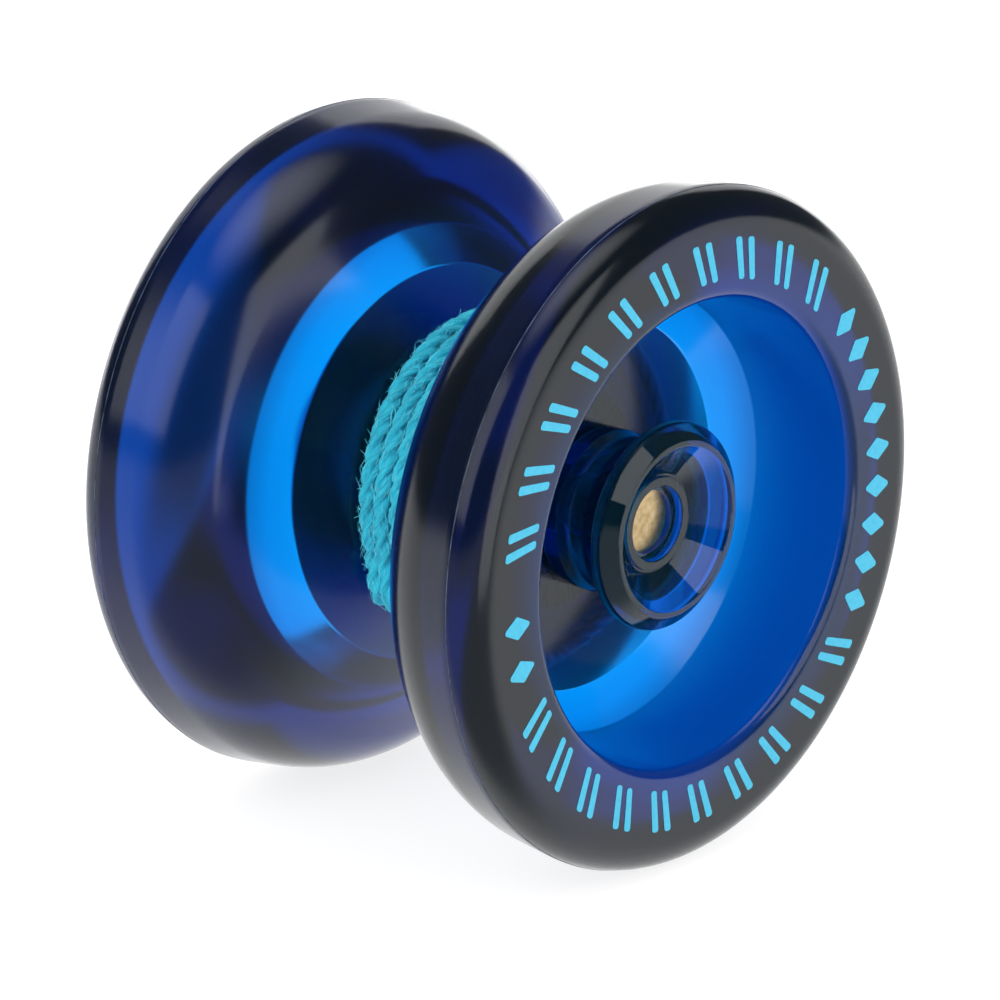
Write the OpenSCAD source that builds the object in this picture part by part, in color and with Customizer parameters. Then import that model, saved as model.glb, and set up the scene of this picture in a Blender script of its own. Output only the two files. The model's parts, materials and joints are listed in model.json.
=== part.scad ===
// Finger-spin bearing yo-yo: two clear blue plastic halves on a steel screw,
// with a ball bearing and a wound string between them.
// The axle lies along Y and the yo-yo stands on its two rims; +Z is up.
// The origin is the centre of the axle. The front half is the one at -Y.
// Every outline below is drawn as [radius, distance from the middle plane].

/* [Body] */
// Outside diameter of both rims
body_d = 57; // [54:0.5:60]
// Overall width, face to face
body_w = 43.2; // [42:0.2:46]
// Gap that the string runs in
gap_w = 4.2; // [4.1:0.1:4.6]
// Radius of the rim's edge on the face side
rim_edge_r = 2.9; // [2.4:0.1:3.2]
// Radius of the rim's shoulder on the string side
rim_shoulder_r = 7.9; // [7:0.1:8.4]
// Radius of the flat middle of the cup's floor
cup_flat_r = 15.7; // [12:0.1:16.5]
// Radius where the cup's wall meets the sloping edge of its floor
cup_floor_r = 18.5; // [17.5:0.1:19]
// Radius where the cup's wall meets its lip
cup_lip_r = 19.5; // [19.1:0.1:20.5]

/* [Hub] */
// Radius of the finger spool's flange
flange_r = 8.7; // [8:0.1:9.5]
// Radius of the spool's neck at its waist
neck_r = 6.25; // [6:0.05:6.6]
// Radius of the hole in the spool's mouth
mouth_r = 3.15; // [3:0.05:3.4]

/* [Bearing] */
// Bore of the bearing
bearing_id = 6.35; // [6.35:0.01:6.4]
// Outside diameter of the bearing
bearing_od = 12.7; // [12.6:0.05:12.8]
// Width of the bearing
bearing_w = 4.76; // [4.7:0.02:4.8]
// Diameter of each ball
ball_d = 2.38; // [2.3:0.02:2.4]

/* [Axle] */
// Diameter of the screw that joins the halves
axle_d = 4; // [3.9:0.1:4]
// Length of that screw
axle_l = 22; // [20:0.5:24]

/* [String] */
// Outside radius of the wound string
winding_r = 14.3; // [12:0.1:14.6]

/* [Hidden] */

$fn = 180;
plastic = [0.02, 0.22, 0.62];
spool_blue = [0.02, 0.10, 0.28];
brass = [0.73, 0.60, 0.38];
steel = [0.72, 0.73, 0.75];
silicone = [0.86, 0.90, 0.93];
cord = [0.13, 0.61, 0.75];

body_r = body_d / 2;
face_v = body_w / 2;
gap_v = gap_w / 2;
tiny = 0.02;              // radial play of the parts that sit inside each other

// Rim: a small circle at the face edge and a large one at the string side
edge_c = [body_r - rim_edge_r, face_v - rim_edge_r];
shoulder_c = [body_r - 8.25, face_v - 5.2];
land_r = 10.3;            // outer radius of the flat land beside the string

// Points where straight outlines touch the two rim circles
function unit(a) = [cos(a), sin(a)];
function angle_of(p) = atan2(p[1], p[0]);
link = edge_c - shoulder_c;
tread_a = angle_of(link) - acos((rim_shoulder_r - rim_edge_r) / norm(link));
tread_edge = edge_c + rim_edge_r * unit(tread_a);
tread_shoulder = shoulder_c + rim_shoulder_r * unit(tread_a);
run = [land_r, gap_v] - shoulder_c;
cone_a = angle_of(run) + acos(rim_shoulder_r / norm(run));
cone_end = shoulder_c + rim_shoulder_r * unit(cone_a);

// Cup
lip_fillet = 1.05;
wall_v = 12.3;            // where the wall meets the floor's sloping edge
seat_v = 9.6;             // flat of the floor, where the spool sits
wall_dir = [cup_lip_r - cup_floor_r, face_v - lip_fillet - wall_v];
wall_a = angle_of(wall_dir);
lip_c = [cup_lip_r + lip_fillet / sin(wall_a), face_v - lip_fillet];
lip_wall = lip_c + lip_fillet * unit(wall_a + 90);

// Seats inside each shell
pocket_r = 6.7;
pocket_v = 2.75;
pad_in_r = 7.15;
pad_out_r = 9.6;
pad_v = 3.3;
seat_ring_r = 4;
seat_ring_v = 4.6;
axle_hole_r = 2.3;
socket_r = 5;
socket_v = 6.5;

// Spool
spigot_v = 6.6;
insert_r = 2.8;
insert_in_v = 7;
insert_out_v = 15.6;
insert_hole_v = 12.6;
step_r = 2.65;
step_v = 16.2;
collar_r = 3.95;
collar_v = 17;
dish_r = 4.15;
dish_v = 16.75;
crown_r = 0.35;
crown_c = [7.25, face_v - 2.85];
flange_edge = 0.8;
tuck = 0.03;              // how far the flats run into the round edges
flange_c = [flange_r - flange_edge, face_v - 3.9];
neck_v = 14.2;
neck_h = 4.4;
scallop_r = 5;
base_r = 6.75;

// Bearing
half_w = bearing_w / 2;
pitch_r = (bearing_id + bearing_od) / 4;
ball_r = ball_d / 2;
groove_r = ball_r + 0.02;
inner_race_r = 4.05;
outer_race_r = 5.45;
shield_v = 1.9;
shield_t = 0.2;
shield_seat_r = 5.72;
seat_post_r = bearing_id / 2 - 0.025;
balls = 8;

// String
string_in_r = bearing_od / 2 + 0.05;
string_v = gap_v - 0.15;
string_top_v = 3.3;
string_flank_r = winding_r - 0.9;
knot_r = 1.5;
knot_place = [winding_r + knot_r + 0.05, -28];   // radius and angle below +X

// Turns an outline about the axle, on the front side
module turned() {
    rotate([90, 0, 0]) rotate_extrude() children();
}

module rear() {
    mirror([0, 1, 0]) children();
}

// Slice of a circle between two angles, each less than half a turn apart
module pie(centre, radius, from, to) {
    reach = 3 * radius;
    mid = (from + to) / 2;
    translate(centre) intersection() {
        circle(r = radius);
        polygon([[0, 0], reach * unit(from), reach * unit(mid), reach * unit(to)]);
    }
}

module shell_outline() {
    polygon([
        [axle_hole_r, seat_ring_v], [seat_ring_r + tiny, seat_ring_v],
        [seat_ring_r + tiny, pocket_v], [pocket_r, pocket_v],
        [pocket_r, gap_v], [pad_in_r, gap_v],
        [pad_in_r, pad_v], [pad_out_r, pad_v],
        [pad_out_r, gap_v], [land_r, gap_v],
        cone_end, tread_shoulder, tread_edge,
        [edge_c[0], face_v], [lip_c[0], face_v], lip_wall,
        [cup_floor_r, wall_v], [cup_flat_r, seat_v], [socket_r, seat_v],
        [socket_r, socket_v], [axle_hole_r, socket_v]
    ]);
    pie(shoulder_c, rim_shoulder_r, cone_a, tread_a);
    pie(edge_c, rim_edge_r, tread_a, 90);
    pie(lip_c, lip_fillet, 90, wall_a + 90);
}

module shell() {
    turned() shell_outline();
}

module front_shell() {
    color(plastic) shell();
}

module rear_shell() {
    color(plastic) rear() shell();
}

// Finger spool: a spigot in the shell, a waisted neck, a round-edged flange
// and a dished mouth with a raised collar round its hole
module hub_outline() {
    difference() {
        union() {
            polygon([
                [insert_r + tiny, spigot_v], [socket_r - tiny, spigot_v],
                [socket_r - tiny, seat_v], [base_r, seat_v], [base_r, neck_v + neck_h / 2],
                flange_c + (flange_edge - tuck) * unit(-90),
                flange_c + (flange_edge - tuck) * unit(48), crown_c + (crown_r - tuck) * unit(48),
                crown_c + (crown_r - tuck) * unit(140), [dish_r, dish_v],
                [collar_r, dish_v], [collar_r, collar_v], [mouth_r, collar_v],
                [mouth_r, step_v], [step_r, step_v], [step_r, insert_out_v],
                [insert_r + tiny, insert_out_v]
            ]);
            translate(flange_c) circle(r = flange_edge);
            translate(crown_c) circle(r = crown_r);
        }
        intersection() {
            translate([neck_r + scallop_r, neck_v]) circle(r = scallop_r);
            translate([0, neck_v - neck_h / 2]) square([flange_r, neck_h]);
        }
    }
}

module front_finger_hub() {
    color(spool_blue) turned() hub_outline();
}

module rear_finger_hub() {
    color(spool_blue) rear() turned() hub_outline();
}

// Threaded insert: two knurled bands with a groove between them, blind at its outer end
module insert() {
    band = 2.9;
    groove = 2.45;
    turned() polygon([
        [axle_d / 2 + 0.03, insert_in_v], [insert_r, insert_in_v],
        [insert_r, insert_in_v + band], [groove, insert_in_v + band + 0.4],
        [groove, insert_out_v - band - 0.4], [insert_r, insert_out_v - band],
        [insert_r, insert_out_v - 0.15], [insert_r - 0.15, insert_out_v],
        [0, insert_out_v], [0, insert_hole_v], [axle_d / 2 + 0.03, insert_hole_v]
    ]);
}

module front_brass_insert() {
    color(brass) insert();
}

module rear_brass_insert() {
    color(brass) rear() insert();
}

// Stepped ring that carries the bearing's inner race
module bearing_seat() {
    turned() polygon([
        [axle_d / 2 + 0.05, 0.1], [seat_post_r - 0.1, 0.1], [seat_post_r, 0.2],
        [seat_post_r, half_w], [seat_ring_r, half_w], [seat_ring_r, seat_ring_v],
        [axle_d / 2 + 0.05, seat_ring_v]
    ]);
}

module front_bearing_seat() {
    color(steel) bearing_seat();
}

module rear_bearing_seat() {
    color(steel) rear() bearing_seat();
}

module response_pad() {
    turned() translate([pad_in_r + tiny, gap_v + 0.05])
        square([pad_out_r - pad_in_r - 2 * tiny, pad_v - gap_v - 0.05]);
}

module front_response_pad() {
    color(silicone) response_pad();
}

module rear_response_pad() {
    color(silicone) rear() response_pad();
}

// Headless screw with a hexagon socket in its front end and chamfered tips
module axle_screw() {
    tip = 0.4;
    half_l = axle_l / 2;
    color(steel) difference() {
        turned() polygon([
            [0, -half_l], [axle_d / 2 - tip, -half_l], [axle_d / 2, -half_l + tip],
            [axle_d / 2, half_l - tip], [axle_d / 2 - tip, half_l], [0, half_l]
        ]);
        rotate([90, 0, 0]) translate([0, 0, half_l - 2]) cylinder(r = 1.15, h = 3, $fn = 6);
    }
}

module ball_track() {
    translate([pitch_r, 0]) circle(r = groove_r);
}

module bearing_inner_race() {
    color(steel) turned() difference() {
        translate([bearing_id / 2, -half_w]) square([inner_race_r - bearing_id / 2, bearing_w]);
        ball_track();
    }
}

module bearing_outer_race() {
    color(steel) turned() difference() {
        translate([outer_race_r, -half_w]) square([bearing_od / 2 - outer_race_r, bearing_w]);
        ball_track();
        for (side = [0, 1]) mirror([0, side])
            translate([outer_race_r - 1, shield_v]) square([shield_seat_r - outer_race_r + 1, 1]);
    }
}

module ball_at(i) {
    a = (i - 0.5) * 360 / balls;
    rotate([0, a, 0]) translate([pitch_r, 0, 0]) children();
}

module ball(i) {
    color(steel) ball_at(i) sphere(r = ball_r, $fn = 48);
}

// Crown cage: a ring on one side of the balls with a prong between each pair
module bearing_cage() {
    color(brass) difference() {
        turned() translate([4.3, -0.35]) square([0.95, 2.1]);
        for (i = [1 : balls]) ball_at(i) sphere(r = ball_r + 0.04, $fn = 48);
    }
}

module shield() {
    turned() translate([inner_race_r + 0.15, shield_v + tiny])
        square([shield_seat_r - inner_race_r - 0.15 - tiny, shield_t - tiny]);
}

module front_shield() {
    color(steel) shield();
}

module rear_shield() {
    color(steel) rear() shield();
}

// Open wire ring that holds the shield in the outer race
module snap_ring() {
    difference() {
        turned() translate([shield_seat_r - 0.4, shield_v + shield_t + tiny]) square([0.38, 0.2]);
        translate([shield_seat_r - 0.3, -shield_v, 0]) cube([2, 2, 0.8], center = true);
    }
}

module front_snap_ring() {
    color(steel) snap_ring();
}

module rear_snap_ring() {
    color(steel) rear() snap_ring();
}

// Outer shape of the wound string
module string_winding() {
    color(cord) turned() polygon([
        [string_in_r, -string_v], [land_r, -string_v], [string_flank_r, -string_top_v],
        [winding_r, -string_top_v + 1], [winding_r, string_top_v - 1],
        [string_flank_r, string_top_v], [land_r, string_v], [string_in_r, string_v]
    ]);
}

// Slip knot of the finger loop, drawn up tight on the last turn
module string_knot() {
    color(cord) rotate([0, -knot_place[1], 0]) translate([knot_place[0], 0, 0])
        sphere(r = knot_r, $fn = 48);
}

front_shell();
rear_shell();
front_finger_hub();
rear_finger_hub();
front_brass_insert();
rear_brass_insert();
front_bearing_seat();
rear_bearing_seat();
front_response_pad();
rear_response_pad();
axle_screw();
bearing_inner_race();
bearing_outer_race();
bearing_cage();
for (i = [1 : balls])
    ball(i);
front_shield();
rear_shield();
front_snap_ring();
rear_snap_ring();
string_winding();
string_knot();
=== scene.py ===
"""Looks of the bearing yo-yo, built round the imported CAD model.

Named lengths are in millimetres, except those of the room and its lamps, which are in metres.
The axle is the Y axis. An outline's point is (distance from the axle, distance from the middle
plane), and a third number is the fillet of that corner.
"""
import json
import math
import random

import bpy
import numpy as np
from mathutils import Matrix, Vector

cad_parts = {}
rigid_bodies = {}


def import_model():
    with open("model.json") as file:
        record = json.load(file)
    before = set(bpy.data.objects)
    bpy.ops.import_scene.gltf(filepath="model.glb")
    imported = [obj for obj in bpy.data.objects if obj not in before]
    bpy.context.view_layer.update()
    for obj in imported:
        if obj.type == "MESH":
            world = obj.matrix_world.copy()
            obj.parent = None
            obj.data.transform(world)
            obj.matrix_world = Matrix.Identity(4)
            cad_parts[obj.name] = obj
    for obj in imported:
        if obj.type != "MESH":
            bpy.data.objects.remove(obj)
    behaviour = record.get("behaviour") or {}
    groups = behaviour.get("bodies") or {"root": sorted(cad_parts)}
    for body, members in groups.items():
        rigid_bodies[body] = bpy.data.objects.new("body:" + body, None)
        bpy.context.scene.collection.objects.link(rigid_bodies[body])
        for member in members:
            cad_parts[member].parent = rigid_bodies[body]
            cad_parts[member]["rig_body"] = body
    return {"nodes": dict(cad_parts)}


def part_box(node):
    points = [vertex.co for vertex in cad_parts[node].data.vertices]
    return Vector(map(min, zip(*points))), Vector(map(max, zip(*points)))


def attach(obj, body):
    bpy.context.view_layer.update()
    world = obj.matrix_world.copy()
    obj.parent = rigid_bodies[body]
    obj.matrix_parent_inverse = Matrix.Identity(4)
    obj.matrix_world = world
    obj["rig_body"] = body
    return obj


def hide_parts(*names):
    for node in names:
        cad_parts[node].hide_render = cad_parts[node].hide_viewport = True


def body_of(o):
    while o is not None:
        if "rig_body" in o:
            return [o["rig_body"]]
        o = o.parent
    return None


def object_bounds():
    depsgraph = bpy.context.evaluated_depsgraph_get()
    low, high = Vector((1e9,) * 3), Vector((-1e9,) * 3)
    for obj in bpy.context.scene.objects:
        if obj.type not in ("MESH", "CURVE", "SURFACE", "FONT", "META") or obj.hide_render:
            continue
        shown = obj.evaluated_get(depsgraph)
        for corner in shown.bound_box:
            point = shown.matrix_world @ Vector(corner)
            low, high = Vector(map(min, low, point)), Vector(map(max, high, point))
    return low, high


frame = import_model()
cad_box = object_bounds()
MM = 0.001

# ---------------------------------------------------------------- camera

VIEW_AZIMUTH = -49.2
VIEW_ELEVATION = 19.0
VIEW_DISTANCE = 645.5
LENS = 281.4
AIM_RIGHT = 0.04
AIM_UP = -1.68


def add_camera():
    a, e = math.radians(VIEW_AZIMUTH), math.radians(VIEW_ELEVATION)
    back = Vector((math.sin(a) * math.cos(e), -math.cos(a) * math.cos(e), math.sin(e)))
    right = Vector((math.cos(a), math.sin(a), 0))
    up = back.cross(right)
    aim = right * AIM_RIGHT + up * AIM_UP
    data = bpy.data.cameras.new("camera")
    data.lens = LENS
    data.sensor_width = 36
    data.clip_start = 0.01
    data.clip_end = 20
    camera = bpy.data.objects.new("camera", data)
    bpy.context.scene.collection.objects.link(camera)
    camera.matrix_world = Matrix.LocRotScale(
        (aim + back * VIEW_DISTANCE) * MM, back.to_track_quat("Z", "Y"), None
    )
    bpy.context.scene.camera = camera


add_camera()

# ---------------------------------------------------------------- sizes, from the frame


def half_size(node, axis):
    low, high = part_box(node)
    return max(abs(low[axis]), abs(high[axis])) / MM


def near_face(node):
    low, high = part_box(node)
    return min(abs(low[1]), abs(high[1])) / MM


BODY_R = round(half_size("front_shell", 0), 1)
FACE_V = half_size("front_shell", 1)
GAP_V = near_face("front_shell")
SPIGOT_V = near_face("front_finger_hub")
SEAT_V = SPIGOT_V + 3

# Rim, land beside the string, and cup
RIM_EDGE_R = 2.9
RIM_SHOULDER_R = 7.9
EDGE_C = (BODY_R - RIM_EDGE_R, FACE_V - RIM_EDGE_R)
SHOULDER_C = (BODY_R - 8.25, FACE_V - 5.2)
LAND_R = 10.3
CUP_LIP_R = 19.5
LIP_FILLET = 1.05
CUP_FLOOR_R, CUP_FLOOR_V = 18.5, 12.3
FLAT_FLOOR_R = 15.7

# Seats inside each shell
AXLE_HOLE_R = 2.3
SPACER_R, SPACER_V = 4.02, 4.6
POCKET_R, POCKET_V = 6.7, 2.75
PAD_IN_R, PAD_OUT_R, PAD_V = 7.15, 9.6, 3.3
SOCKET_R, SOCKET_V = 5, 6.5

# Finger hub
INSERT_R, INSERT_V = 2.82, 15.62
SPIGOT_R = 4.98
NECK = [(6.75, 11.9, 0.25), (6.36, 12.8, 2), (6.22, 14.3, 4), (6.4, 15.7, 2), (6.95, 16.5, 0.5)]
FLANGE_R = half_size("front_finger_hub", 0)
FLANGE_IN_V, FLANGE_OUT_V = FACE_V - 4.65, FACE_V - 3.55
CROWN_IN_R, CROWN_OUT_R, CROWN_V = 6.95, 7.4, FACE_V - 2.5
DISH_R, DISH_V = 4.15, 16.75
COLLAR_R, COLLAR_V = 3.95, 17
MOUTH_R = 3.15
STEP_R, STEP_V = 2.65, 16.2

# ---------------------------------------------------------------- turned shapes

FINE_STEP, COARSE_STEP = 2.5, 9   # degrees per face on fillets above and below 1 mm


def unit(vector):
    """A vector, or each row of an array of vectors, at length 1."""
    return vector / np.linalg.norm(vector, axis=-1, keepdims=True)


def meet(p, a, q, b):
    """Where the line through p at angle a crosses the line through q at angle b."""
    d, e = (math.cos(a), math.sin(a)), (math.cos(b), math.sin(b))
    t = ((q[0] - p[0]) * e[1] - (q[1] - p[1]) * e[0]) / (d[0] * e[1] - d[1] * e[0])
    return (p[0] + t * d[0], p[1] + t * d[1])


def soften(corners):
    """Outline points and normals of a polygon whose corners are (x, y, fillet)."""
    points, normals = [], []
    for i, (x, y, fillet) in enumerate(corners):
        here = np.array((x, y))
        back = np.array(corners[i - 1][:2]) - here
        ahead = np.array(corners[(i + 1) % len(corners)][:2]) - here
        back_l, ahead_l = np.linalg.norm(back), np.linalg.norm(ahead)
        back, ahead = back / back_l, ahead / ahead_l
        half = math.acos(max(-1, min(1, float(back @ ahead)))) / 2
        turn = math.pi - 2 * half
        reach = min(fillet / math.tan(half), 0.98 * back_l, 0.98 * ahead_l)
        radius = reach * math.tan(half)
        side = 1 if ahead[0] * back[1] - ahead[1] * back[0] > 0 else -1
        centre = here + unit(back + ahead) * math.hypot(reach, radius)
        first = here + back * reach - centre
        step = FINE_STEP if radius > 1 else COARSE_STEP
        steps = max(3, math.ceil(math.degrees(turn) / step))
        for k in range(steps + 1):
            a = side * turn * k / steps
            v = np.array((first[0] * math.cos(a) - first[1] * math.sin(a),
                          first[0] * math.sin(a) + first[1] * math.cos(a)))
            points.append(centre + v)
            normals.append(tuple(side * v / radius))
    return np.array(points), np.array(normals)


def add_piece(name, points, faces, material, smooth_shaded=False):
    """Mesh object made of points in metres, linked to the scene."""
    mesh = bpy.data.meshes.new(name)
    mesh.from_pydata(points, [], faces)
    mesh.polygons.foreach_set("use_smooth", [smooth_shaded] * len(mesh.polygons))
    mesh.materials.append(material)
    mesh.update()
    piece = bpy.data.objects.new(name, mesh)
    bpy.context.scene.collection.objects.link(piece)
    return piece


def ring_faces(rings, around, closed=False):
    """Quads between rings that follow each other in a list of points."""
    faces = []
    for i in range(rings if closed else rings - 1):
        j = (i + 1) % rings
        for k in range(around):
            m = (k + 1) % around
            faces.append((i * around + k, i * around + m, j * around + m, j * around + k))
    return faces


def lathe(name, corners, front, material, segments=240):
    """Turns an outline about the Y axis."""
    points, normals = soften(corners)
    side = -1 if front else 1
    angle = np.linspace(0, math.tau, segments, endpoint=False)

    def turned(outline):
        r, v = outline.T
        along = side * np.outer(v, np.ones(segments))
        rings = np.stack([np.outer(r, np.cos(angle)), along, np.outer(r, np.sin(angle))], -1)
        return rings.reshape(-1, 3).tolist()

    faces = ring_faces(len(points), segments, closed=True)
    if not front:
        faces = [face[::-1] for face in faces]
    piece = add_piece(name, turned(points * MM), faces, material, smooth_shaded=True)
    piece.data.normals_split_custom_set_from_vertices(turned(normals))
    return piece


def shell_corners():
    gap = (LAND_R, GAP_V)
    link = (EDGE_C[0] - SHOULDER_C[0], EDGE_C[1] - SHOULDER_C[1])
    between = math.acos((RIM_SHOULDER_R - RIM_EDGE_R) / math.hypot(*link))
    tread = math.atan2(link[1], link[0]) - between
    on_tread = (EDGE_C[0] + RIM_EDGE_R * math.cos(tread), EDGE_C[1] + RIM_EDGE_R * math.sin(tread))
    tread += math.pi / 2
    run = (gap[0] - SHOULDER_C[0], gap[1] - SHOULDER_C[1])
    cone = math.atan2(run[1], run[0]) + math.acos(RIM_SHOULDER_R / math.hypot(*run)) + math.pi / 2
    wall = math.atan2(FACE_V - LIP_FILLET - CUP_FLOOR_V, CUP_LIP_R - CUP_FLOOR_R)
    floor = (CUP_FLOOR_R, CUP_FLOOR_V)
    shoulder = meet(gap, cone, on_tread, tread)
    edge = meet(on_tread, tread, (0, FACE_V), 0)
    lip = meet(floor, wall, (0, FACE_V), 0)
    return [
        (AXLE_HOLE_R, SPACER_V, 0.05), (SPACER_R, SPACER_V, 0.05), (SPACER_R, POCKET_V, 0.08),
        (POCKET_R, POCKET_V, 0.1), (POCKET_R, GAP_V, 0.12), (PAD_IN_R, GAP_V, 0.12),
        (PAD_IN_R, PAD_V, 0.1), (PAD_OUT_R, PAD_V, 0.1), (PAD_OUT_R, GAP_V, 0.1), (*gap, 0.6),
        (*shoulder, RIM_SHOULDER_R), (*edge, RIM_EDGE_R), (*lip, LIP_FILLET), (*floor, 0.3),
        (FLAT_FLOOR_R, SEAT_V, 0.3), (SOCKET_R, SEAT_V, 0.1), (SOCKET_R, SOCKET_V, 0.1),
        (AXLE_HOLE_R, SOCKET_V, 0.1),
    ]


def hub_corners():
    return [
        (INSERT_R, SPIGOT_V, 0.05), (SPIGOT_R, SPIGOT_V, 0.2), (SPIGOT_R, SEAT_V, 0.05),
        (NECK[0][0], SEAT_V, 0.1), *NECK, (FLANGE_R, FLANGE_IN_V, 0.6),
        (FLANGE_R, FLANGE_OUT_V, 0.5), (CROWN_OUT_R, CROWN_V, 0.3), (CROWN_IN_R, CROWN_V, 0.25),
        (DISH_R, DISH_V, 0.3), (COLLAR_R, DISH_V, 0.04), (COLLAR_R, COLLAR_V, 0.1),
        (MOUTH_R, COLLAR_V, 0.1), (MOUTH_R, STEP_V, 0.06), (STEP_R, STEP_V, 0.06),
        (STEP_R, INSERT_V, 0.05), (INSERT_R, INSERT_V, 0.05),
    ]


# ---------------------------------------------------------------- materials


def new_material(name):
    material = bpy.data.materials.new(name)
    material.use_nodes = True
    nodes, links = material.node_tree.nodes, material.node_tree.links
    return material, nodes, links, nodes["Principled BSDF"]


def math_node(nodes, links, operation, first, second=None, third=None):
    node = nodes.new("ShaderNodeMath")
    node.operation = operation
    for socket, value in zip(node.inputs, (first, second, third)):
        if isinstance(value, (int, float)):
            socket.default_value = value
        elif value is not None:
            links.new(value, socket)
    return node.outputs["Value"]


def add_noise(nodes, links, scale, detail=3.0, stretch=None, coordinate="Object"):
    """Noise in object space, finer along the axes where stretch is larger."""
    noise = nodes.new("ShaderNodeTexNoise")
    noise.inputs["Scale"].default_value = scale
    noise.inputs["Detail"].default_value = detail
    source = nodes.new("ShaderNodeTexCoord").outputs[coordinate]
    if stretch:
        mapping = nodes.new("ShaderNodeMapping")
        mapping.inputs["Scale"].default_value = stretch
        links.new(source, mapping.inputs["Vector"])
        source = mapping.outputs["Vector"]
    links.new(source, noise.inputs["Vector"])
    return noise.outputs["Fac"]


def spread(nodes, links, source, low, high, start=0.3, end=0.7):
    """Turns a value between start and end into one between low and high."""
    scale = nodes.new("ShaderNodeMapRange")
    ends = {"From Min": start, "From Max": end, "To Min": low, "To Max": high}
    for socket, value in ends.items():
        scale.inputs[socket].default_value = value
    links.new(source, scale.inputs["Value"])
    return scale.outputs["Result"]


def blend_colours(nodes, links, source, dark, light, start=0.3, end=0.7):
    """Goes from one colour to the other while the source goes from start to end."""
    ramp = nodes.new("ShaderNodeValToRGB")
    for element, position, colour in zip(ramp.color_ramp.elements, (start, end), (dark, light)):
        element.position = position
        element.color = (*colour, 1)
    links.new(source, ramp.inputs["Fac"])
    return ramp.outputs["Color"]


def add_bump(nodes, links, source, depth):
    bump = nodes.new("ShaderNodeBump")
    bump.inputs["Strength"].default_value = 1
    bump.inputs["Distance"].default_value = depth * MM
    links.new(source, bump.inputs["Height"])
    links.new(bump.outputs["Normal"], nodes["Principled BSDF"].inputs["Normal"])


def split_axes(nodes, links, coordinate):
    split = nodes.new("ShaderNodeSeparateXYZ")
    links.new(nodes.new("ShaderNodeTexCoord").outputs[coordinate], split.inputs["Vector"])
    return [split.outputs[axis] for axis in "XYZ"]


def axle_distance(nodes, links):
    """Distance from the axle, as a share of the rim's radius."""
    x, _, z = split_axes(nodes, links, "Object")
    square = math_node(nodes, links, "MULTIPLY", z, z)
    square = math_node(nodes, links, "MULTIPLY_ADD", x, x, square)
    radius = math_node(nodes, links, "SQRT", square)
    return math_node(nodes, links, "MULTIPLY", radius, 1 / (BODY_R * MM))


# Clear plastic: the tint of its surface, in the cup and on the rim, and the tint of its depth
SURFACE_TINT = (0.03, 0.58, 1.0)
RIM_TINT = (0.05, 0.225, 0.44)
RIM_STARTS, RIM_ENDS = 20.3, 22.5
RIM_ROUGHER = 1.25
SHELL_TINT, SHELL_DENSITY = (0.0, 0.75, 0.885), 1000
HUB_TINT, HUB_DENSITY = (0.0, 0.83, 0.88), 1500


def clear_blue(name, density, colour, smoothest, roughest):
    """Clear tinted plastic: light loses red first, then green, with depth."""
    material, nodes, links, shader = new_material(name)
    share = axle_distance(nodes, links)
    rim = (RIM_STARTS / BODY_R, RIM_ENDS / BODY_R)
    tint = blend_colours(nodes, links, share, SURFACE_TINT, RIM_TINT, *rim)
    links.new(tint, shader.inputs["Base Color"])
    shader.inputs["Transmission Weight"].default_value = 0.983
    shader.inputs["IOR"].default_value = 1.52
    polish = spread(nodes, links, add_noise(nodes, links, 90), smoothest, roughest)
    rougher = spread(nodes, links, share, 1, RIM_ROUGHER, *rim)
    roughness = math_node(nodes, links, "MULTIPLY", polish, rougher)
    links.new(roughness, shader.inputs["Roughness"])
    absorb = nodes.new("ShaderNodeVolumeAbsorption")
    absorb.inputs["Density"].default_value = density
    absorb.inputs["Color"].default_value = (*colour, 1)
    links.new(absorb.outputs["Volume"], nodes["Material Output"].inputs["Volume"])
    return material


def metal(name, dark, light, roughness, grain=(1, 1, 1), scale=900, depth=0.004):
    """Turned or ground metal: the grain is noise, stretched round or along the work."""
    material, nodes, links, shader = new_material(name)
    shader.inputs["Metallic"].default_value = 1
    lines = add_noise(nodes, links, scale, 4, grain)
    links.new(blend_colours(nodes, links, lines, dark, light), shader.inputs["Base Color"])
    stain = spread(nodes, links, add_noise(nodes, links, 350), roughness * 0.8, roughness * 1.3)
    links.new(stain, shader.inputs["Roughness"])
    add_bump(nodes, links, lines, depth)
    return material


def matte(name, dark, light, roughness, scale=1500, depth=0.01):
    material, nodes, links, shader = new_material(name)
    grain = add_noise(nodes, links, scale)
    links.new(blend_colours(nodes, links, grain, dark, light), shader.inputs["Base Color"])
    shader.inputs["Roughness"].default_value = roughness
    add_bump(nodes, links, grain, depth)
    return material


def yarn(name, dark, light):
    """Twisted polyester: fine filaments run along each ply."""
    material, nodes, links, shader = new_material(name)
    filaments = add_noise(nodes, links, 1.0, 2, (0.8, 30, 1), "UV")
    patches = math_node(nodes, links, "MULTIPLY", add_noise(nodes, links, 400), 0.4)
    mix = math_node(nodes, links, "MULTIPLY_ADD", filaments, 0.6, patches)
    links.new(blend_colours(nodes, links, mix, dark, light), shader.inputs["Base Color"])
    shader.inputs["Roughness"].default_value = 0.75
    shader.inputs["Sheen Weight"].default_value = 0.15
    shader.inputs["Sheen Tint"].default_value = (0.5, 0.9, 1, 1)
    add_bump(nodes, links, filaments, 0.2)
    return material


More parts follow.
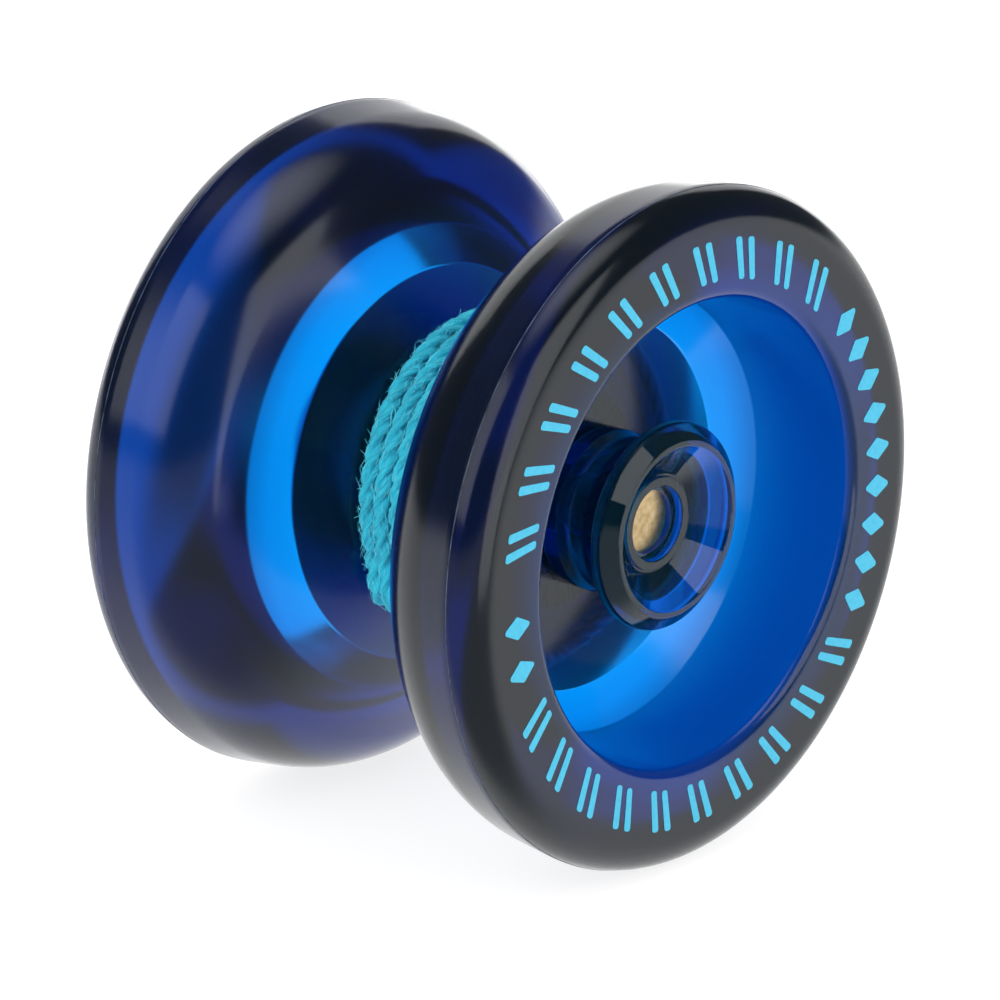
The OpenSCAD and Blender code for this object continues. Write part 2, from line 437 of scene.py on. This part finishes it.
SHELL_BLUE = clear_blue("shell_blue", SHELL_DENSITY, SHELL_TINT, 0.11, 0.15)
HUB_BLUE = clear_blue("hub_blue", HUB_DENSITY, HUB_TINT, 0.02, 0.05)
BRASS = metal("brass", (0.5, 0.35, 0.16), (0.76, 0.58, 0.33), 0.3, scale=1600, depth=0.002)
SPACER = metal("spacer_metal", (0.6, 0.61, 0.62), (0.8, 0.81, 0.82), 0.3, (1, 14, 1))
SCREW_STEEL = metal("screw_steel", (0.05, 0.05, 0.055), (0.13, 0.13, 0.14), 0.35)
RACE_STEEL = metal("bearing_steel", (0.55, 0.56, 0.58), (0.74, 0.75, 0.77), 0.22, (1, 16, 1))
BALL_STEEL = metal("ball_steel", (0.75, 0.75, 0.76), (0.9, 0.9, 0.91), 0.06, depth=0.0005)
CAGE_BRASS = metal("cage_brass", (0.5, 0.38, 0.18), (0.75, 0.62, 0.36), 0.3)
SILICONE = matte("silicone", (0.72, 0.78, 0.84), (0.84, 0.88, 0.92), 0.55)
STRING = yarn("string_yarn", (0.004, 0.33, 0.5), (0.03, 0.74, 0.96))
FIBRE = matte("string_fibre", (0.03, 0.58, 0.78), (0.2, 0.82, 0.96), 0.8)
PRINT = matte("print_ink", (0.025, 0.4, 0.6), (0.05, 0.46, 0.67), 0.45, 2500, 0.002)
# Mould flash on the rim's edge: a dark line whose pale grey spots are painted glints
SEAM_WITH_GLINTS = matte("seam_flash_glints", (0.004, 0.012, 0.03), (0.1, 0.14, 0.22), 0.3, 1300)

# ---------------------------------------------------------------- the wound string
# The string runs in layers round the bearing, each a helix from one flank of the gap to the other.

CORD_D = 1.6
PLIES = 3
PLY_R = 0.41
PLY_PITCH = 5.6
STEP = 0.55                      # distance between points of the middle line
# Radius of each layer's middle line, and its number of turns
LAYERS = [(7.25, 2), (8.51, 2), (9.77, 2), (11.03, 3), (12.29, 4), (13.5, 4)]
# Half the width of the wound string at the land, and further out along the flank
WOUND_IN_V = 1.95
WOUND_OUT_R, WOUND_OUT_V = 13.4, 3.3
SLACK = 0.08                     # how far a turn may stray past that width
STRAY_R, STRAY_V = 0.12, 0.2
# A turn moves to its next lane over a span of degrees, round an angle from the knot in this range
CROSS_AT, CROSS_SPAN = (250, 335), 120
# Lump in the outer turns: angle from +X towards +Z, its spread in degrees, and its height
LUMP_AT, LUMP_SPREAD, LUMP = 209, 8, 1.0
# The slip knot: place (angle as above), size of its loops, and how the string rises to it
KNOT_R, KNOT_ANGLE = 15.85, -28
KNOT_SPREAD, KNOT_HEIGHT = 0.27, 0.3
KNOT_SCALE = 0.72
KNOT_POINTS = 90
KNOT_FOOT_R = KNOT_R - 0.5
KNOT_RISE = 0.16                 # share of a turn


def gap_reach(radius):
    """Half the width that the wound string fills at this radius."""
    slope = (WOUND_OUT_V - WOUND_IN_V) / (WOUND_OUT_R - LAND_R)
    return WOUND_IN_V + max(0, radius - LAND_R) * slope


def smooth(t):
    t = max(0.0, min(1.0, t))
    return t * t * (3 - 2 * t)


def string_lanes():
    """Radius and place along the axle of each turn, from the bearing out."""
    lanes, flip = [], 1
    for radius, turns in LAYERS:
        reach = gap_reach(radius) - CORD_D / 2
        lanes += [(radius, flip * reach * (2 * k / (turns - 1) - 1)) for k in range(turns)]
        flip = -flip
    return lanes


def string_path():
    """Points of the string's middle line, from the bearing out to the knot."""
    rng = random.Random(11)
    lanes = string_lanes()
    stray = [(rng.uniform(-STRAY_R, STRAY_R), rng.uniform(-STRAY_V, STRAY_V),
              rng.uniform(0, 6.28)) for _ in lanes]
    cross = [rng.uniform(*CROSS_AT) for _ in lanes]

    def place(lane, degrees):
        """Radius and place along the axle at this angle of a lane, with its own stray."""
        radius, along = lanes[lane]
        out, sideways, phase = stray[lane]
        a = math.radians(degrees)
        return (radius + out * math.sin(2 * a + phase),
                along + sideways * math.sin(1.5 * a + phase))

    points = []
    turn = 0.0
    while turn < len(lanes):
        lane = int(turn)
        degrees = (turn - lane) * 360
        share = smooth((degrees - cross[lane]) / CROSS_SPAN + 0.5)
        here = place(lane, degrees)
        then = place(min(lane + 1, len(lanes) - 1), degrees - 360)
        r, y = (a * (1 - share) + b * share for a, b in zip(here, then))
        reach = gap_reach(r) - CORD_D / 2 + SLACK
        y = max(-reach, min(reach, y))
        angle = (KNOT_ANGLE + turn * 360) % 360
        lump = LUMP * math.exp(-((angle - LUMP_AT) / LUMP_SPREAD) ** 2)
        r += lump * smooth(r - LAYERS[-2][0]) * smooth(y + 0.5)
        rise = smooth((turn - len(lanes) + KNOT_RISE) / KNOT_RISE)
        r += rise * (KNOT_FOOT_R - r)
        y *= 1 - rise
        a = math.radians(angle)
        points.append((r * math.cos(a) * MM, y * MM, r * math.sin(a) * MM))
        turn += STEP / (2 * math.pi * r)
    return points


def ply_radius(angle):
    """Distance from the middle to the surface of three plies laid together."""
    off = CORD_D / 2 - PLY_R
    part = 2 * math.pi / PLIES
    a = (angle + part / 2) % part - part / 2
    return off * math.cos(a) + math.sqrt(PLY_R ** 2 - (off * math.sin(a)) ** 2)


def twisted_tube(name, path, scale=1.0, sides=27, closed=False):
    """A laid cord along a path of points in metres."""
    p = np.array(path)
    rings = len(p)
    tangent = unit(np.roll(p, -1, 0) - np.roll(p, 1, 0) if closed else np.gradient(p, axis=0))
    side = unit(np.cross(tangent, unit(p * (1, 0, 1))))
    outward = np.cross(side, tangent)
    gaps = np.linalg.norm(np.diff(p, axis=0), axis=1)
    run = np.concatenate([[0], np.cumsum(gaps)]) / MM
    angles = np.linspace(0, math.tau, sides, endpoint=False)
    reach = np.array([ply_radius(a) for a in angles]) * MM * scale
    points = []
    for i in range(rings):
        a = angles + math.tau * run[i] / (PLY_PITCH * scale)
        points.append(p[i] + np.outer(reach * np.cos(a), outward[i])
                      + np.outer(reach * np.sin(a), side[i]))
    faces = [(a, d, c, b) for a, b, c, d in ring_faces(rings, sides, closed)]
    uvs = []
    for i in range(rings if closed else rings - 1):
        u0 = run[i]
        u1 = run[i + 1] if i + 1 < rings else u0 + STEP
        for k in range(sides):
            v0, v1 = k / sides, (k + 1) / sides
            uvs += [(u0, v0), (u1, v0), (u1, v1), (u0, v1)]
    if not closed:
        faces.append(tuple(range(sides)))
        faces.append(tuple((rings - 1) * sides + k for k in reversed(range(sides))))
        uvs += [(0, k / sides) for k in range(sides)] * 2
    piece = add_piece(name, np.concatenate(points).tolist(), faces, STRING, smooth_shaded=True)
    layer = piece.data.uv_layers.new(name="UVMap")
    layer.data.foreach_set("uv", np.array(uvs, dtype=np.float32).ravel())
    return piece


def knot_path():
    """A small overhand knot, drawn up tight round the last turn."""
    a = math.radians(KNOT_ANGLE)
    out = np.array((math.cos(a), 0, math.sin(a)))
    along = np.array((-math.sin(a), 0, math.cos(a)))
    across = np.array((0, 1, 0))
    points = []
    for i in range(KNOT_POINTS):
        t = math.tau * i / KNOT_POINTS
        spot = KNOT_SPREAD * (math.sin(t) + 2 * math.sin(2 * t)) * along
        spot += KNOT_SPREAD * (math.cos(t) - 2 * math.cos(2 * t)) * across
        spot -= KNOT_HEIGHT * math.sin(3 * t) * out
        points.append((KNOT_R * out + spot) * MM)
    return points


FIBRES = 7000
FIBRE_SIDES, FIBRE_RINGS = 3, 5
FIBRE_THICKNESS = (0.018, 0.034)
LYING_SHARE, LYING_LENGTH, LYING_DEPTH = 0.7, (0.7, 1.5), 0.06
STANDING_LENGTH, STANDING_DEPTH = (0.25, 0.6), 0.2
FUZZ_STARTS = 0.45               # share of the string that lies too deep to show any
FUZZ_STOPS = 60                  # points before the knot


def fuzz(name, path, material):
    """Loose fibres on the outer turns: most lie along the yarn, and some stand off it."""
    rng = random.Random(5)
    p = np.array(path)
    points, faces = [], []
    for _ in range(FIBRES):
        i = rng.randrange(int(len(p) * FUZZ_STARTS), len(p) - FUZZ_STOPS)
        along = unit(p[i + 1] - p[i - 1])
        out = unit(p[i] * (1, 0, 1))
        across = np.cross(along, out)
        a = rng.uniform(-1.2, 1.2)
        stand = math.cos(a) * out + math.sin(a) * across
        lies = rng.random() < LYING_SHARE
        bend = rng.uniform(-1, 1) * along + rng.uniform(-0.7, 0.7) * across
        length = rng.uniform(*(LYING_LENGTH if lies else STANDING_LENGTH)) * MM
        thick = rng.uniform(*FIBRE_THICKNESS) * MM
        depth = LYING_DEPTH if lies else STANDING_DEPTH
        root = p[i] + stand * (CORD_D / 2 - depth) * MM
        if lies:
            lean = 0.8 * along * rng.choice((-1, 1))
            stand = lean + 0.5 * rng.uniform(-1, 1) * across + 0.12 * stand
            bend *= 0.4
        base = len(points)
        for k in range(FIBRE_RINGS):
            t = k / (FIBRE_RINGS - 1)
            middle = root + stand * length * t * (1 - 0.35 * t) + bend * length * t * t * 0.8
            for s in range(FIBRE_SIDES):
                b = math.tau * s / FIBRE_SIDES
                edge = math.cos(b) * along + math.sin(b) * across
                points.append(tuple(middle + thick * (1 - 0.5 * t) * edge))
        tip = FIBRE_SIDES * (FIBRE_RINGS - 1)
        fibre = ring_faces(FIBRE_RINGS, FIBRE_SIDES)
        fibre += [range(FIBRE_SIDES)[::-1], range(tip, tip + FIBRE_SIDES)]
        faces += [tuple(base + k for k in face) for face in fibre]
    return add_piece(name, points, faces, material)


string_points = string_path()
string_cord = twisted_tube("string_cord", string_points)
string_knot_loops = twisted_tube("string_knot_loops", knot_path(), KNOT_SCALE, 18, closed=True)
string_fuzz = fuzz("string_fuzz", string_points, FIBRE)
for piece in (string_cord, string_knot_loops, string_fuzz):
    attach(piece, "string_spool")
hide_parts("string_winding")
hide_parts("string_knot")

# ---------------------------------------------------------------- screw, shells and hubs

THREAD_PITCH, THREAD_DEPTH = 0.7, 0.3
THREAD_SLOPE = 2.5               # the thread climbs to its crest in 1 / 2.5 of a pitch
TIP_CHAMFER = 0.4
HEXAGON_R, HEXAGON_DEPTH = 1.15, 2.0
SEAM_ANGLE = 6                   # from the rim's widest line towards the face
SEAM_H, SEAM_W, SEAM_LIFT = 0.035, 0.05, 0.006


def threaded_screw(name, segments=48, per_pitch=8):
    """Headless screw: a helical thread, chamfered tips and a hexagon socket in the front end."""
    radius, half = half_size("axle_screw", 0), half_size("axle_screw", 1)
    angles = [math.tau * k / segments for k in range(segments)]
    sixth = math.pi / 3
    flat_r = HEXAGON_R * math.cos(sixth / 2)
    hexagon = [(a, flat_r / math.cos(a % sixth - sixth / 2)) for a in angles]
    rings = [[(a, r, v) for a, r in hexagon] for v in (-half + HEXAGON_DEPTH, -half)]
    steps = round(2 * half / THREAD_PITCH * per_pitch)
    for i in range(steps + 1):
        v = -half + 2 * half * i / steps
        limit = radius - max(0, TIP_CHAMFER - (half - abs(v)))
        ring = []
        for a in angles:
            phase = (v / THREAD_PITCH - a / math.tau) % 1
            crest = min(1, max(0, THREAD_SLOPE * (0.5 - abs(phase - 0.5))))
            ring.append((a, min(limit, radius - THREAD_DEPTH * (1 - crest)), v))
        rings.append(ring)
    points = [(r * math.cos(a) * MM, v * MM, r * math.sin(a) * MM)
              for ring in rings for a, r, v in ring]
    last = (len(rings) - 1) * segments
    ends = [range(segments), range(last, last + segments)[::-1]]
    faces = [tuple(face) for face in ends]
    faces += [face[::-1] for face in ring_faces(len(rings), segments)]
    piece = add_piece(name, points, faces, SCREW_STEEL)
    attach(piece, body_of(frame["nodes"]["axle_screw"])[0])
    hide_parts("axle_screw")


def seam_corners():
    """Fine line of flash where the mould parted, on the rim's edge."""
    a = math.radians(SEAM_ANGLE)
    out, along = np.array((math.cos(a), math.sin(a))), np.array((-math.sin(a), math.cos(a)))
    root = np.array(EDGE_C) + (RIM_EDGE_R + SEAM_LIFT) * out
    spots = (root - SEAM_W * along, root + SEAM_H * out, root + SEAM_W * along)
    return [(*spot, 0.005) for spot in spots]


threaded_screw("axle_thread")

for side in ("front", "rear"):
    front = side == "front"
    body = side + "_half"
    seam = lathe(side + "_seam", seam_corners(), front, SEAM_WITH_GLINTS)
    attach(seam, body)
    shell = lathe(side + "_shell_clear", shell_corners(), front, SHELL_BLUE)
    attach(shell, body)
    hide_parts(side + "_shell")
    hub = lathe(side + "_hub_clear", hub_corners(), front, HUB_BLUE)
    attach(hub, body)
    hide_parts(side + "_finger_hub")

# ---------------------------------------------------------------- print on the front face
# Plain slanted bars and lozenges in a ring round the cup. A mark's outline is (outward, sideways).

PRINT_R = 22.95
PRINT_V = FACE_V + 0.01
PRINT_T = 0.025
MARK_FILLET = 0.25
BAR = [(1.75, 0.2), (1.75, 0.95), (-1.75, -0.2), (-1.75, -0.95)]
LOZENGE = [(-1.7, 0), (0, -1.0), (1.7, 0), (0, 1.0)]
BAR_SHIFT = 0.75
# Angle of the first mark, step to the next, and how many there are
BAR_ROWS = [(166.5, -12.85, 10), (-40, -12.55, 10)]
LOZENGE_ROWS = [(36.7, -8.15, 9), (-175.8, 9.6, 2)]


def mark(outline, angle, shift=0.0):
    """A rounded flat shape, laid round the ring."""
    points, _ = soften([(x, y, MARK_FILLET) for x, y in outline])
    ring = []
    for x, y in points:
        r = PRINT_R + x
        a = math.radians(angle) + (y + shift) / PRINT_R
        ring.append((r * math.cos(a), r * math.sin(a)))
    return ring


def print_marks(name):
    shapes = [mark(BAR, first + step * i, shift) for first, step, count in BAR_ROWS
              for i in range(count) for shift in (-BAR_SHIFT, BAR_SHIFT)]
    shapes += [mark(LOZENGE, first + step * i) for first, step, count in LOZENGE_ROWS
               for i in range(count)]
    points, faces = [], []
    for ring in shapes:
        base, count = len(points), len(ring)
        for v in (PRINT_V, PRINT_V + PRINT_T):
            points += [(x * MM, -v * MM, z * MM) for x, z in ring]
        around = [range(count, 2 * count), range(count)[::-1], *ring_faces(2, count)]
        faces += [tuple(base + k for k in face) for face in around]
    piece = add_piece(name, points, faces, PRINT)
    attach(piece, "front_half")


print_marks("front_print")

# ---------------------------------------------------------------- looks of the CAD pieces


def paint(material, *names):
    for name in names:
        node = frame["nodes"][name]
        node.data.materials.clear()
        node.data.materials.append(material)


paint(BRASS, "front_brass_insert", "rear_brass_insert")
paint(CAGE_BRASS, "bearing_cage")
paint(SPACER, "front_bearing_seat", "rear_bearing_seat")
paint(RACE_STEEL, "bearing_inner_race", "bearing_outer_race", "front_shield", "rear_shield",
      "front_snap_ring", "rear_snap_ring")
paint(BALL_STEEL, *[f"ball_{i}" for i in range(1, 9)])
paint(SILICONE, "front_response_pad", "rear_response_pad")

# ---------------------------------------------------------------- stage
# A white room with dark sides: seen directly it is white, clear plastic looks through to white
# below and a dimmer wall above, and polished faces reflect soft boxes on a dark ground.
# Azimuths are from +X towards +Y.

# Brightness by elevation, as clear plastic sees it and as polished faces reflect it
THROUGH = [(-90, 1.2), (-45, 1.9), (0, 1.75), (20, 1.05), (42, 0.95), (75, 1.1)]
GLOSS = [(-90, 1.15), (-3, 1.1), (2, 0.075), (60, 0.075), (74, 1.4), (88, 1.8)]
STRIP_AZIMUTHS = (70, 130)       # and on the opposite sides
STRIP_EDGES = (21, 7)            # degrees from the middle: no shade, full shade
STRIP_ENDS = (0.55, 0.3)         # sine of the elevation: no shade, full shade
STRIP_DEPTH = 0.8
DIM_AZIMUTH, DIM_DEPTH = 222, 0.6
LAMP_DISTANCE = 1.0
FLOOR_HALF = 1.6
FLOOR_DROP = 0.05 * MM


def ease(nodes, links, value, start, end):
    """0 at start, 1 at end and smooth between them."""
    node = nodes.new("ShaderNodeMapRange")
    node.interpolation_type = "SMOOTHSTEP"
    node.inputs["From Min"].default_value = start
    node.inputs["From Max"].default_value = end
    links.new(value, node.inputs["Value"])
    return node.outputs["Result"]


def towards(nodes, links, x, y, azimuth):
    """How far the direction (x, y) points to this azimuth."""
    a = math.radians(azimuth)
    part = math_node(nodes, links, "MULTIPLY", x, math.cos(a))
    return math_node(nodes, links, "MULTIPLY_ADD", y, math.sin(a), part)


def dark_strips(nodes, links):
    """Upright dark strips on both sides of the room, as a factor on its brightness."""
    x, y, z = split_axes(nodes, links, "Generated")
    flat = math_node(nodes, links, "MULTIPLY_ADD", y, y, 1e-6)
    flat = math_node(nodes, links, "MULTIPLY_ADD", x, x, flat)
    flat = math_node(nodes, links, "SQRT", flat)
    band = ease(nodes, links, math_node(nodes, links, "ABSOLUTE", z), *STRIP_ENDS)
    edges = [math.cos(math.radians(a)) for a in STRIP_EDGES]
    factor = 1.0
    for azimuth in STRIP_AZIMUTHS:
        along = towards(nodes, links, x, y, azimuth)
        close = math_node(nodes, links, "ABSOLUTE", math_node(nodes, links, "DIVIDE", along, flat))
        shade = math_node(nodes, links, "MULTIPLY", ease(nodes, links, close, *edges), band)
        light = math_node(nodes, links, "MULTIPLY_ADD", shade, -STRIP_DEPTH, 1.0)
        factor = math_node(nodes, links, "MULTIPLY", light, factor)
    return factor


def dim_side(nodes, links):
    """Factor that darkens one side of the room."""
    x, y, _ = split_axes(nodes, links, "Generated")
    shade = ease(nodes, links, towards(nodes, links, x, y, DIM_AZIMUTH), 0.05, 0.5)
    return math_node(nodes, links, "MULTIPLY_ADD", shade, -DIM_DEPTH, 1.0)


def sky(nodes, links, stops, factor):
    """Grey by height above the horizon: stops are (elevation in degrees, brightness)."""
    _, _, z = split_axes(nodes, links, "Generated")
    ramp = nodes.new("ShaderNodeValToRGB")
    elements = ramp.color_ramp.elements
    while len(elements) < len(stops):
        elements.new(0.5)
    top = max(level for _, level in stops)
    for element, (elevation, level) in zip(elements, stops):
        element.position = (math.sin(math.radians(elevation)) + 1) / 2
        element.color = (level / top, level / top, level / top, 1)
    links.new(spread(nodes, links, z, 0, 1, -1, 1), ramp.inputs["Fac"])
    room = nodes.new("ShaderNodeBackground")
    links.new(ramp.outputs["Color"], room.inputs["Color"])
    links.new(math_node(nodes, links, "MULTIPLY", factor, top), room.inputs["Strength"])
    return room.outputs["Background"]


def add_room():
    world = bpy.data.worlds.new("studio")
    bpy.context.scene.world = world
    world.use_nodes = True
    nodes, links = world.node_tree.nodes, world.node_tree.links
    white = nodes["Background"]
    white.inputs["Color"].default_value = (1, 1, 1, 1)
    white.inputs["Strength"].default_value = 1
    through = sky(nodes, links, THROUGH, dark_strips(nodes, links))
    gloss = sky(nodes, links, GLOSS, dim_side(nodes, links))
    ray = nodes.new("ShaderNodeLightPath")
    seen = white.outputs["Background"]
    for kind, room in (("Is Glossy Ray", gloss), ("Is Transmission Ray", through)):
        mix = nodes.new("ShaderNodeMixShader")
        links.new(ray.outputs[kind], mix.inputs["Fac"])
        links.new(seen, mix.inputs[1])
        links.new(room, mix.inputs[2])
        seen = mix.outputs["Shader"]
    links.new(seen, nodes["World Output"].inputs["Surface"])
    world.cycles.sampling_method = "NONE"


def soft_box(name, azimuth, elevation, size, brightness):
    """A rectangular lamp facing the yo-yo."""
    data = bpy.data.lights.new(name, "AREA")
    data.shape = "RECTANGLE"
    data.size, data.size_y = size
    data.energy = brightness * math.pi * size[0] * size[1]
    light = bpy.data.objects.new(name, data)
    light.visible_camera = False
    light.visible_transmission = False
    bpy.context.scene.collection.objects.link(light)
    a, e = math.radians(azimuth), math.radians(elevation)
    way = Vector((math.cos(a) * math.cos(e), math.sin(a) * math.cos(e), math.sin(e)))
    light.matrix_world = Matrix.LocRotScale(way * LAMP_DISTANCE, way.to_track_quat("Z", "Y"), None)


def add_floor():
    material, _, _, shader = new_material("floor_white")
    shader.inputs["Base Color"].default_value = (0.35, 0.35, 0.35, 1)
    shader.inputs["Roughness"].default_value = 1
    shader.inputs["Specular IOR Level"].default_value = 0
    shader.inputs["Emission Color"].default_value = (1, 1, 1, 1)
    shader.inputs["Emission Strength"].default_value = 0.8
    z = cad_box[0][2] - FLOOR_DROP
    signs = ((-1, -1), (1, -1), (1, 1), (-1, 1))
    corners = [(x * FLOOR_HALF, y * FLOOR_HALF, z) for x, y in signs]
    floor = add_piece("floor", corners, [(0, 1, 2, 3)], material)
    floor.visible_glossy = False
    floor.visible_transmission = False


add_room()
soft_box("left_box", 170, 32, (0.7, 0.8), 1.3)
soft_box("front_box", 270, 15, (0.7, 1.2), 1.7)
soft_box("backdrop", 52, 14, (1.3, 0.8), 1.05)
add_floor()

scene = bpy.context.scene
scene.view_settings.view_transform = "Standard"
scene.cycles.max_bounces = 24
scene.cycles.glossy_bounces = 16
scene.cycles.transmission_bounces = 24
